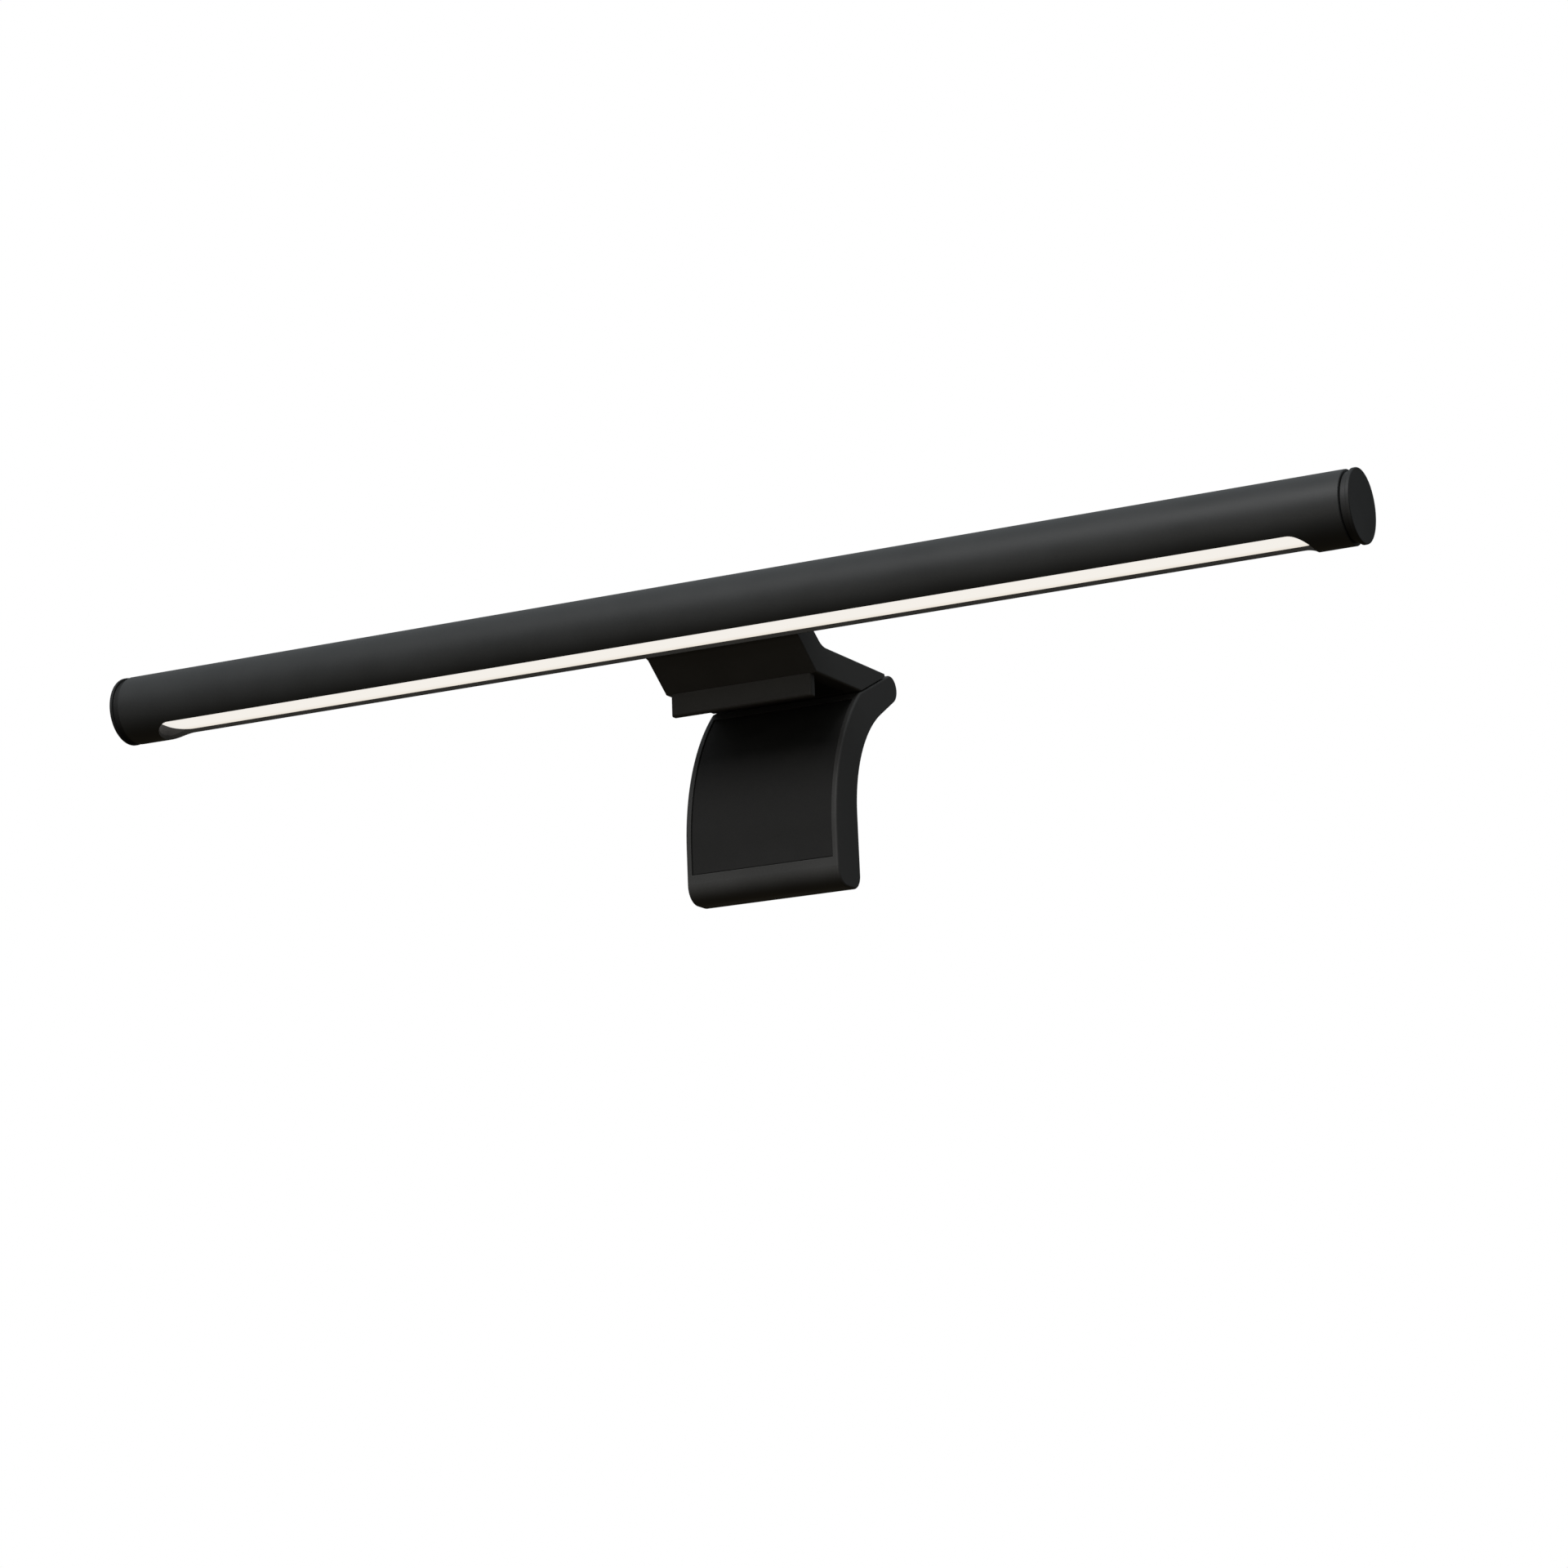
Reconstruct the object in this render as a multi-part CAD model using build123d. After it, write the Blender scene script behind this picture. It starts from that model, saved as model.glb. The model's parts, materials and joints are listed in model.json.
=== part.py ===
from build123d import *
import math
import os

os.makedirs("parts", exist_ok=True)

# A light bar held by a magnetic saddle bracket that stands on the top edge of a flat display.
# X runs along the bar, +Y points behind the display and +Z is up.
# The origin is the middle of the underside of the pad that rests on the display.
# All sizes are millimetres and all angles are degrees.

# ---- Light bar ----
BAR_LENGTH = 446.2
BAR_BACK = -42.0            # the bar's axis, behind (+) or in front (-) of the rest pad's middle
BAR_UP = 17.5               # the bar's axis above the rest pad's underside
TUBE_R = 11.6
TUBE_WALL = 1.4
SLOT_LEAN = 2.0             # the lit slot looks this far forward of straight down
SLOT_HALF_WIDTH = 8.1
SLOT_END_MARGIN = 15.1      # from the slot's end to the bar's end
SLOT_CORNER_R = 6.5
CAP_T = 3.05                # the part of an end cap that shows
CAP_GAP = 0.25              # shadow gap between tube and cap
CAP_EDGE_R = 0.4
CAP_GROOVE_WIDTH = 1.9      # the cap is slimmer beside the tube
CAP_GROOVE_DEPTH = 0.9
TUBE_CHAMFER = 0.25
SPIGOT_END_GAP = 0.25       # between the spigot and the end screws
SPIGOT_WALL = 1.3
SPIGOT_FIT = 0.1
END_PLATE_T = 1.4
END_SCREW_HEAD_R = 1.5
END_SCREW_GRIP = 6.0        # thread in the tube
END_BORE_DEPTH = 6.0        # the rails stop this far inside the tube's ends

# ---- Optics and electronics inside the bar ----
DIFFUSER_DEPTH = 1.4        # the diffuser lies this far inside the slot's edges
DIFFUSER_FACE_T = 1.0
DIFFUSER_FLANGE_T = 1.0
DIFFUSER_FIT = 0.1
DIFFUSER_END_LAP = 1.5
CARRIER_HALF_WIDTH = 8.4
CARRIER_WALL = 0.8
CARRIER_BASE_T = 1.2
CARRIER_TOP = 2.8           # top of the carrier's base above the bar's axis
BOARD_T = 1.0
LED_LENGTH = 3.0
LED_WIDTH = 2.6
LED_T = 0.8
LED_PITCH = 6.5
RAIL_T = 1.0
RAIL_REACH = 0.8            # the rails reach this far over the carrier
PORT_R = 2.0
SCREW_R = 0.9
PORT_ANGLE = 45.0
PORT_SINK = 0.2             # how far a port sinks into the tube's wall
STANDOFF_T = 1.1
STANDOFF_R = 2.0
STANDOFF_MARGIN = 1.0
MAIN_BOARD_LENGTH = 80.0
MAIN_BOARD_WIDTH = 8.2
MAIN_BOARD_GAP = 2.0        # from the USB inlet to the board
SHIELD_SIZE = (14.0, 7.4, 2.2)
SHIELD_OFFSET = 16.0        # offsets are from the board's middle
SHIELD_CORNER_R = 1.0
INDUCTOR_R = 3.4
INDUCTOR_T = 2.6
INDUCTOR_OFFSET = -24.0
DRIVER_SIZE = (5.0, 4.4, 1.2)
DRIVER_OFFSET = -14.0
CONTROLLER_SIZE = (6.0, 6.0, 1.0)
CONTROLLER_OFFSET = -2.0
CAPACITOR_SIZE = (1.8, 1.0, 0.9)
CAPACITOR_OFFSETS = (-18.5, -9.0, 3.5, 6.5)
CAPACITOR_SIDE = 3.4
PLUG_SIZE = (5.0, 7.0, 2.8)
PLUG_OFFSET = 29.5
KEEPER_T = 0.9
KEEPER_LOW = -20.0
KEEPER_CLEARANCE = 2.9      # angle left below the rail

# ---- USB inlet at the back of the bar ----
USB_X = 46.0
USB_ANGLE = 50.0            # above the horizontal, at the back
USB_WIDTH = 8.9
USB_HEIGHT = 3.2
USB_DEPTH = 6.3
USB_SKIN = 0.3
USB_INSET = 0.15
USB_FIT = 0.15
USB_BACK_T = 1.0
USB_TONGUE_HALF_WIDTH = 3.3
USB_TONGUE_T = 0.7
USB_TONGUE_INSET = 1.2
USB_BOARD_MARGIN = 1.0
USB_BOARD_DEPTH = 4.6
USB_BOARD_INSET = 1.1

# ---- Bracket ----
BRACKET_WIDTH = 55.2
ARM_T = 9.7
PAD_PROUD = 0.3             # the rest pad stands this far below the arm
EDGE_R = 0.7
SEAT_SQUARE = 1.0           # the side edges stay sharp this far behind the seat
SEAT_GAP = 0.3              # between the tube and the saddle's liner
SEAT_PAD_T = 1.0
SEAT_LOW = -32.0
SEAT_HIGH = 24.0
NECK_FRONT = -17.1          # where the neck's underside meets the arm's
KNEE_BACK = -12.0           # where the neck's top meets the arm's
KNEE_R = 9.0
CROWN_T = 2.0               # the saddle's upper edge
CROWN_FALL = 0.6
HEEL_T = 1.6                # the saddle's lower edge
HEEL_FALL = 0.5
SEAT_PAD_MARGIN = 1.0
SEAT_PAD_TRIM = 1.5         # angle left bare at each edge of the seat
MAGNET_TILT = -12.0
MAGNET_SIZE = (10.0, 3.0, 6.0)
MAGNET_SETBACK = 0.3
MAGNET_COUNT = 4
MAGNET_PITCH = 11.6
YOKE_T = 1.0
MAGNET_FIT = 0.1
YOKE_MARGIN = 0.5
COVER_FRONT = -5.5
COVER_BACK = 27.0
COVER_T = 1.4
COVER_SIDE = 2.5            # strip of body left at each side of the cover
COVER_LEDGE = 1.5
COVER_CORNER_R = 2.0
COVER_SCREW_X = 16.0
COVER_SCREW_Y = 4.5
COVER_SCREW_SKIN = 1.0      # cover left over each screw's tip
COVER_POST_R = 2.3
ARM_WALL = 2.0
ARM_FLOOR = 1.2

# ---- Front hook and pads ----
HOOK_HALF_WIDTH = 25.7
HOOK_FRONT = -17.25
HOOK_T = 3.0
HOOK_DROP = 7.1             # the hook's tip below the rest pad
HOOK_EDGE_R = 0.9
HOOK_CORNER_R = 0.5
HOOK_SCREW_X = 16.0
HOOK_SCREW_Y = -7.0
HOOK_SCREW_GRIP = 3.4
FLANGE_T = 2.0
FLANGE_BACK = -2.0
LIP_PAD_T = 0.7
LIP_PAD_MARGIN = 1.2
LIP_PAD_LOW = 0.5           # above the hook's rounded tip
LIP_PAD_TOP = -0.4
LIP_PAD_CORNER_R = 1.0
REST_PAD_T = 1.1
REST_PAD_HALF_DEPTH = 11.5  # short enough for a plate on it to clear the leg
REST_PAD_HALF_WIDTH = 23.0
REST_PAD_CORNER_R = 1.5

# ---- Hinge ----
PIVOT_BACK = 36.8
KNUCKLE_R = 4.6
BARREL_R = 4.3
SEAM_RISE = 25.0            # slope of the joint face between arm and leg
SEAM_GAP = 0.35
ARM_TIP_BACK = 32.4
TONGUE_HALF_WIDTH = 18.5
CHEEK_GAP = 0.3
TONGUE_FRONT = 21.5
TONGUE_BACK = 27.0
TONGUE_UNDER = 5.3
PIN_R = 1.5
PIN_FIT = 0.05
PIN_INSET = 0.3
PIN_CHAMFER = 0.3
CHEEK_SKIN = 2.0            # wall left at the blind end of the pin's hole
BUSH_WALL = 0.75
SPRING_GAP_HALF = 6.5
SPRING_WIRE_R = 0.4
SPRING_COIL_R = 3.2
SPRING_TURNS = 14
SPRING_TAIL_BACK = 29.0
SPRING_TAIL_FIT = 0.1

# ---- Rear leg ----
LEG_TOP_UP = -0.15          # the leg's front corner beside the arm's underside
LEG_BEND = (-6.8, -20.5)    # where the leg's two front faces would meet
LEG_BEND_R = 66.0
LEG_BACK = 8.5              # the lower part's back face at its upper end
LEG_BACK_RISE = 31.5        # slope of the upper part's back face
LEG_BACK_BEND_R = 42.0
FOOT_FRONT = -6.3
FOOT_BACK = 9.5
FOOT_UNDER = -66.9
FOOT_FRONT_R = 6.2
FOOT_BACK_R = 5.0
LEG_MIDDLE_BEND = (7.9, -18.0)  # bend of the line between the leg's front and back
LEG_RIM = 1.9
LEG_PAD_INSET = 0.3
LEG_PAD_T = 1.2
LEG_PAD_TOP = -2.5
LEG_PAD_BOTTOM = -57.8
LEG_PAD_FIT = 0.1
LEG_WALL = 1.7
LEG_COVER_T = 1.6
LEG_COVER_TOP = -13.0
LEG_COVER_BOTTOM = -56.5
LEG_CAVITY_MARGIN = 1.5
WEIGHT_FIT = 0.4
WEIGHT_TOP = -18.0
WEIGHT_BOTTOM = -54.0
LEG_SCREW_X = 19.5
LEG_SCREW_HEIGHTS = (-28.0, -50.0)
LEG_SCREW_SINK = 0.3        # between each screw's head and the pad
LEG_SCREW_GRIP = 3.7        # hole below each screw's seat in the shell
LEG_SCREW_SKIN = 1.5        # boss left past each screw's tip
LEG_ACCESS = 2.0
LEG_BOSS_R = 2.2
LEG_BOSS_GAP = 0.3

# ---- Small fasteners ----
HEAD_R = 1.8
HEAD_T = 0.8
DRIVE_R = 0.8
DRIVE_DEPTH = 0.4

# ---- Limits for the drawing itself ----
REACH = 400.0               # wider than any section
PROBE = 0.01                # a length too small to matter

# ---- Worked out from the above ----
TUBE_BORE_R = TUBE_R - TUBE_WALL
TUBE_HALF = BAR_LENGTH / 2 - CAP_T - CAP_GAP
RAIL_HALF = TUBE_HALF - END_BORE_DEPTH
SLOT_HALF_LENGTH = BAR_LENGTH / 2 - SLOT_END_MARGIN
SLOT_EDGE_DROP = math.sqrt(TUBE_R ** 2 - SLOT_HALF_WIDTH ** 2)
DIFFUSER_FACE = DIFFUSER_DEPTH - SLOT_EDGE_DROP
FLANGE_FACE = DIFFUSER_FACE + DIFFUSER_FACE_T
DIFFUSER_BACK = FLANGE_FACE + DIFFUSER_FLANGE_T
CARRIER_HALF_LENGTH = SLOT_HALF_LENGTH + DIFFUSER_END_LAP
BOARD_BACK = CARRIER_TOP - CARRIER_BASE_T
BOARD_FRONT = BOARD_BACK - BOARD_T
PORT_CENTRE_R = TUBE_BORE_R - PORT_R + PORT_SINK
MAIN_BOARD_LOW = CARRIER_TOP + STANDOFF_T
MAIN_BOARD_TOP = MAIN_BOARD_LOW + BOARD_T
MAIN_BOARD_X = USB_X + USB_WIDTH / 2 + MAIN_BOARD_LENGTH / 2 + MAIN_BOARD_GAP
KEEPER_HIGH = math.degrees(math.asin(CARRIER_TOP / TUBE_BORE_R)) - KEEPER_CLEARANCE
SIDE = BRACKET_WIDTH / 2
ARM_UNDER = PAD_PROUD
ARM_TOP = ARM_UNDER + ARM_T
PIVOT_UP = ARM_TOP - KNUCKLE_R
SEAT_R = TUBE_R + SEAT_GAP + SEAT_PAD_T
MAGNET_FRONT_R = SEAT_R + MAGNET_SETBACK
YOKE_FRONT_R = MAGNET_FRONT_R + MAGNET_SIZE[1]
YOKE_HALF_WIDTH = MAGNET_COUNT * MAGNET_PITCH / 2 + YOKE_MARGIN
FLANGE_UNDER = REST_PAD_T
FLANGE_TOP = FLANGE_UNDER + FLANGE_T
PIN_END = SIDE - CHEEK_SKIN
PAD_DEPTH = LEG_PAD_INSET + LEG_PAD_T
FRONT_WALL_DEPTH = PAD_DEPTH + LEG_WALL

BAR_PLACE = Pos(0, BAR_BACK, BAR_UP) * Rot(-SLOT_LEAN, 0, 0)
SEAT_PLACE = Pos(0, BAR_BACK, BAR_UP)
HEAD_PLACE = SEAT_PLACE * Rot(MAGNET_TILT, 0, 0)
USB_PLACE = BAR_PLACE * Pos(USB_X, 0, 0) * Rot(USB_ANGLE, 0, 0)


def along_x(section, low, high):
    """Solid between two X planes, from a section drawn as (back, up)."""
    return extrude(Plane.YZ.offset(low) * section, amount=high - low, dir=(1, 0, 0))


def block(x_range, y_range, z_range):
    """Box from its low and high coordinates."""
    size = [high - low for low, high in (x_range, y_range, z_range)]
    middle = [(high + low) / 2 for low, high in (x_range, y_range, z_range)]
    return Pos(*middle) * Box(*size)


def post(radius, low, high):
    """Cylinder along Z between two heights."""
    return Pos(0, 0, (low + high) / 2) * Cylinder(radius, high - low)


def rod(radius, low, high):
    """Cylinder along X between two places."""
    return along_x(Circle(radius), low, high)


def screw(length, head_r=HEAD_R, head_t=HEAD_T):
    """Flat-head screw that points along +Z, with its head's outer face at Z = 0."""
    drive = extrude(RegularPolygon(DRIVE_R, 6), DRIVE_DEPTH)
    return post(head_r, 0, head_t) + post(SCREW_R, head_t, length) - drive


def screw_room(length):
    """The hole and counterbore that a screw needs."""
    return post(HEAD_R, 0, HEAD_T) + post(SCREW_R, HEAD_T, length)


def on_circle(radius, angle):
    """Point at an angle above the back of a circle."""
    return (radius * math.cos(math.radians(angle)), radius * math.sin(math.radians(angle)))


def ring_sector(inner_r, outer_r, low, high):
    """Part of a ring between two angles above the back."""
    reach = 2 * outer_r
    wedge = make_face(Polyline((0, 0), on_circle(reach, low), on_circle(reach, high), (0, 0)))
    return (Circle(outer_r) - Circle(inner_r)) & wedge


# ---- The light bar's pieces, drawn about its axis with the slot straight down ----

def slot_room():
    """Prism of the slot's outline, from outside the tube to the diffuser's back."""
    outline = RectangleRounded(2 * SLOT_HALF_LENGTH, 2 * SLOT_HALF_WIDTH, SLOT_CORNER_R)
    return Pos(0, 0, -2 * TUBE_R) * extrude(outline, 2 * TUBE_R + DIFFUSER_BACK)


def port_places():
    """Screw ports along the inside of the tube's upper wall, as (back, up)."""
    return [on_circle(PORT_CENTRE_R, PORT_ANGLE), on_circle(PORT_CENTRE_R, 180 - PORT_ANGLE)]


def tube_housing():
    tube = rod(TUBE_R, -TUBE_HALF, TUBE_HALF)
    tube = chamfer(tube.edges().filter_by(GeomType.CIRCLE), TUBE_CHAMFER)
    tube -= rod(TUBE_BORE_R, -TUBE_HALF, TUBE_HALF)
    rail_inner = CARRIER_HALF_WIDTH - RAIL_REACH
    inside = Circle(TUBE_R - TUBE_WALL / 2)
    rail = inside & (Pos(0, CARRIER_TOP + RAIL_T / 2) * Rectangle(2 * TUBE_R, RAIL_T))
    tube += along_x(rail - Rectangle(2 * rail_inner, 2 * TUBE_R), -RAIL_HALF, RAIL_HALF)
    for place in port_places():
        tube += along_x(inside & (Pos(*place) * Circle(PORT_R)), -RAIL_HALF, RAIL_HALF)
    for place in port_places():
        tube -= along_x(Pos(*place) * Circle(SCREW_R), -BAR_LENGTH, BAR_LENGTH)
    tube -= slot_room()
    return BAR_PLACE * tube - usb_room()


def end_cap(side):
    edge = TUBE_HALF + CAP_GAP
    outside = rod(TUBE_R, edge, edge + CAP_T)
    outside = fillet(outside.edges().sort_by(Axis.X)[-1], CAP_EDGE_R)
    groove = Circle(TUBE_R) - Circle(TUBE_R - CAP_GROOVE_DEPTH)
    outside -= along_x(groove, edge, edge + CAP_GROOVE_WIDTH)
    spigot_r = TUBE_BORE_R - SPIGOT_FIT
    start = RAIL_HALF + END_PLATE_T + HEAD_T + SPIGOT_END_GAP
    spigot = rod(spigot_r, start, edge) - rod(spigot_r - SPIGOT_WALL, start, edge)
    cap = outside + spigot
    if side < 0:
        cap = mirror(cap, Plane.YZ)
    return BAR_PLACE * cap


def end_plates():
    plate = rod(TUBE_BORE_R - SPIGOT_FIT, RAIL_HALF, RAIL_HALF + END_PLATE_T)
    for place in port_places():
        plate -= along_x(Pos(*place) * Circle(SCREW_R), RAIL_HALF, RAIL_HALF + END_PLATE_T)
    return [BAR_PLACE * plate, BAR_PLACE * mirror(plate, Plane.YZ)]


def end_screws():
    screws = []
    for back, up in port_places():
        inward = Pos(RAIL_HALF + END_PLATE_T + HEAD_T, back, up) * Rot(0, -90, 0)
        one = inward * screw(HEAD_T + END_PLATE_T + END_SCREW_GRIP, head_r=END_SCREW_HEAD_R)
        screws += [BAR_PLACE * one, BAR_PLACE * mirror(one, Plane.YZ)]
    return screws


def diffuser():
    fit = DIFFUSER_FIT
    face = RectangleRounded(2 * (SLOT_HALF_LENGTH - fit), 2 * (SLOT_HALF_WIDTH - fit), SLOT_CORNER_R - fit)
    lens = Pos(0, 0, DIFFUSER_FACE) * extrude(face, DIFFUSER_FACE_T)
    flange_half = math.sqrt(TUBE_BORE_R ** 2 - FLANGE_FACE ** 2) - fit
    lens += block((-CARRIER_HALF_LENGTH, CARRIER_HALF_LENGTH), (-flange_half, flange_half),
                  (FLANGE_FACE, DIFFUSER_BACK))
    return BAR_PLACE * lens


def slot_end_blocks():
    """Inserts that close the space below the diffuser past each end of the slot."""
    outer = SLOT_HALF_LENGTH + DIFFUSER_END_LAP
    inner = SLOT_HALF_LENGTH - SLOT_CORNER_R
    half = TUBE_BORE_R
    insert = rod(TUBE_BORE_R, inner, outer) & block((inner, outer), (-half, half), (-half, FLANGE_FACE))
    insert -= slot_room()
    return [BAR_PLACE * insert, BAR_PLACE * mirror(insert, Plane.YZ)]


def standoff_places():
    reach = MAIN_BOARD_LENGTH / 2 - STANDOFF_R - STANDOFF_MARGIN
    return [MAIN_BOARD_X - reach, MAIN_BOARD_X + reach]


def led_carrier():
    half = CARRIER_HALF_WIDTH
    ends = (-CARRIER_HALF_LENGTH, CARRIER_HALF_LENGTH)
    channel = block(ends, (-half, half), (DIFFUSER_BACK, CARRIER_TOP))
    inner = half - CARRIER_WALL
    channel -= block(ends, (-inner, inner), (DIFFUSER_BACK, BOARD_BACK))
    for x in standoff_places():
        channel += Pos(x, 0, 0) * post(STANDOFF_R, CARRIER_TOP, MAIN_BOARD_LOW)
        channel -= Pos(x, 0, 0) * post(SCREW_R, BOARD_BACK, MAIN_BOARD_LOW)
    return BAR_PLACE * channel


def led_board():
    half = CARRIER_HALF_WIDTH - CARRIER_WALL - DIFFUSER_FIT
    length = CARRIER_HALF_LENGTH - DIFFUSER_END_LAP
    return BAR_PLACE * block((-length, length), (-half, half), (BOARD_FRONT, BOARD_BACK))


def leds(first):
    """Every second light source along the board, starting at the first or the second."""
    count = int((SLOT_HALF_LENGTH - LED_PITCH) // LED_PITCH)
    places = [(step + 0.5) * LED_PITCH for step in range(-count, count)]
    chip = Pos(0, 0, BOARD_FRONT - LED_T / 2) * Box(LED_LENGTH, LED_WIDTH, LED_T)
    return [BAR_PLACE * Pos(x, 0, 0) * chip for x in places[first::2]]


def main_board():
    middle = Pos(MAIN_BOARD_X, 0, MAIN_BOARD_LOW + BOARD_T / 2)
    board = middle * Box(MAIN_BOARD_LENGTH, MAIN_BOARD_WIDTH, BOARD_T)
    for x in standoff_places():
        board -= Pos(x, 0, 0) * post(SCREW_R, MAIN_BOARD_LOW, MAIN_BOARD_TOP)
    return BAR_PLACE * board


def board_screws():
    down = MAIN_BOARD_TOP + HEAD_T
    length = HEAD_T + BOARD_T + STANDOFF_T
    return [BAR_PLACE * Pos(x, 0, down) * Rot(180, 0, 0) * screw(length) for x in standoff_places()]


def on_board(offset, back, size):
    """Box that stands on the main board, placed from the board's middle."""
    return Pos(MAIN_BOARD_X + offset, back, MAIN_BOARD_TOP + size[2] / 2) * Box(*size)


def radio_shield():
    shield = on_board(SHIELD_OFFSET, 0, SHIELD_SIZE)
    return BAR_PLACE * fillet(shield.edges().filter_by(Axis.Z), SHIELD_CORNER_R)


def board_parts():
    """Inductor, driver, controller, capacitors and the plug for the light board's lead."""
    coil = post(INDUCTOR_R, MAIN_BOARD_TOP, MAIN_BOARD_TOP + INDUCTOR_T)
    pieces = [Pos(MAIN_BOARD_X + INDUCTOR_OFFSET, 0, 0) * coil]
    pieces.append(on_board(PLUG_OFFSET, 0, PLUG_SIZE))
    pieces.append(on_board(DRIVER_OFFSET, 0, DRIVER_SIZE))
    pieces.append(on_board(CONTROLLER_OFFSET, 0, CONTROLLER_SIZE))
    for offset in CAPACITOR_OFFSETS:
        for back in (-CAPACITOR_SIDE, CAPACITOR_SIDE):
            pieces.append(on_board(offset, back, CAPACITOR_SIZE))
    return [BAR_PLACE * piece for piece in pieces]


def usb_section(grow):
    return SlotOverall(USB_WIDTH + 2 * grow, USB_HEIGHT + 2 * grow)


def usb_solid(grow, low, high):
    """Prism of the socket's outline between two distances from the bar's axis."""
    return Pos(0, low, 0) * extrude(Plane.XZ * usb_section(grow), -(high - low))


def usb_room():
    return USB_PLACE * usb_solid(USB_FIT, TUBE_R - USB_INSET - USB_DEPTH, 2 * TUBE_R)


def usb_socket():
    mouth = TUBE_R - USB_INSET
    back = mouth - USB_DEPTH
    floor = back + USB_BACK_T
    shell = usb_solid(0, back, mouth) - usb_solid(-USB_SKIN, floor, mouth)
    half = USB_TONGUE_HALF_WIDTH
    shell += block((-half, half), (floor, mouth - USB_TONGUE_INSET), (-USB_TONGUE_T / 2, USB_TONGUE_T / 2))
    return USB_PLACE * shell


def usb_board():
    low = USB_HEIGHT / 2
    half = USB_WIDTH / 2 + USB_BOARD_MARGIN
    reach = TUBE_BORE_R - USB_BOARD_INSET
    return USB_PLACE * block((-half, half), (reach - USB_BOARD_DEPTH, reach), (low, low + BOARD_T))


def keeper_plate():
    sector = ring_sector(TUBE_BORE_R - KEEPER_T, TUBE_BORE_R, KEEPER_LOW, KEEPER_HIGH)
    return BAR_PLACE * along_x(sector, -YOKE_HALF_WIDTH, YOKE_HALF_WIDTH)


# ---- The bracket's pieces ----

def seat_point(radius, angle):
    """Point on a circle about the bar's axis, as (back, up) in the bracket's frame."""
    back, up = on_circle(radius, angle)
    return (BAR_BACK + back, BAR_UP + up)


def seam_point(gap, up):
    """Point at a height on the joint face between arm and leg, a gap above the leg."""
    rise = math.radians(SEAM_RISE)
    start_back = PIVOT_BACK - (KNUCKLE_R + gap) * math.sin(rise)
    start_up = PIVOT_UP + (KNUCKLE_R + gap) * math.cos(rise)
    return (start_back + (up - start_up) / math.tan(rise), up)


def seam_height(gap, back):
    """Height of the joint face at a distance back."""
    start_back, start_up = seam_point(gap, PIVOT_UP)
    return start_up + (back - start_back) * math.tan(math.radians(SEAM_RISE))


def bracket_outline():
    """Side of the bracket: saddle, neck and arm, up to the joint face."""
    low = seat_point(SEAT_R, SEAT_LOW)
    high = seat_point(SEAT_R, SEAT_HIGH)
    seat = ThreePointArc(low, seat_point(SEAT_R, (SEAT_LOW + SEAT_HIGH) / 2), high)
    outside = FilletPolyline(
        high,
        (high[0] + CROWN_T, high[1] - CROWN_FALL),
        (KNEE_BACK, ARM_TOP),
        (ARM_TIP_BACK, ARM_TOP),
        (ARM_TIP_BACK, seam_height(SEAM_GAP, ARM_TIP_BACK)),
        seam_point(SEAM_GAP, ARM_UNDER),
        (NECK_FRONT, ARM_UNDER),
        (low[0] + HEEL_T, low[1] - HEEL_FALL),
        low,
        radius=[0, KNEE_R, 0, 0, 0, 0, 0],
    )
    return make_face(seat.edges() + outside.edges())


def barrel_outline(gap):
    """Tongue and hinge barrel of the arm, grown by a gap."""
    low = TONGUE_UNDER - gap
    depth = TONGUE_BACK - TONGUE_FRONT + gap
    root = Pos(TONGUE_BACK - depth / 2, (ARM_TOP + gap + low) / 2) * Rectangle(depth, ARM_TOP + gap - low)
    barrel = Pos(PIVOT_BACK, PIVOT_UP) * Circle(BARREL_R + gap)
    return make_hull(root.edges() + barrel.edges())


def side_edges(solid):
    """Edges of the outline on both side planes."""
    sides = solid.faces().sort_by(Axis.X)
    return sides[0].edges() + sides[-1].edges()


def magnet_room():
    tall = MAGNET_SIZE[2] / 2 + MAGNET_FIT
    back = YOKE_FRONT_R + YOKE_T
    return HEAD_PLACE * block((-YOKE_HALF_WIDTH, YOKE_HALF_WIDTH), (TUBE_R, back), (-tall, tall))


def arm_cavity():
    """Space in the arm under the cover."""
    slant = ARM_WALL / math.cos(math.radians(SEAM_RISE))
    floor = FLANGE_TOP + ARM_FLOOR
    front = COVER_FRONT + COVER_LEDGE
    back = COVER_BACK - COVER_LEDGE
    under = ARM_TOP - COVER_T
    turn = (seam_point(SEAM_GAP, floor - slant)[0], floor)
    slope_end = (back, seam_height(SEAM_GAP, back) + slant)
    outline = Polyline((front, floor), turn, slope_end, (back, under), (front, under), (front, floor))
    half = SIDE - COVER_SIDE - COVER_LEDGE
    return along_x(make_face(outline), -half, half)


def cover_plate():
    half = SIDE - COVER_SIDE
    plate = block((-half, half), (COVER_FRONT, COVER_BACK), (ARM_TOP - COVER_T, ARM_TOP))
    return fillet(plate.edges().filter_by(Axis.Z), COVER_CORNER_R)


def cover_screw_places():
    return [(-COVER_SCREW_X, COVER_SCREW_Y), (COVER_SCREW_X, COVER_SCREW_Y)]


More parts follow.
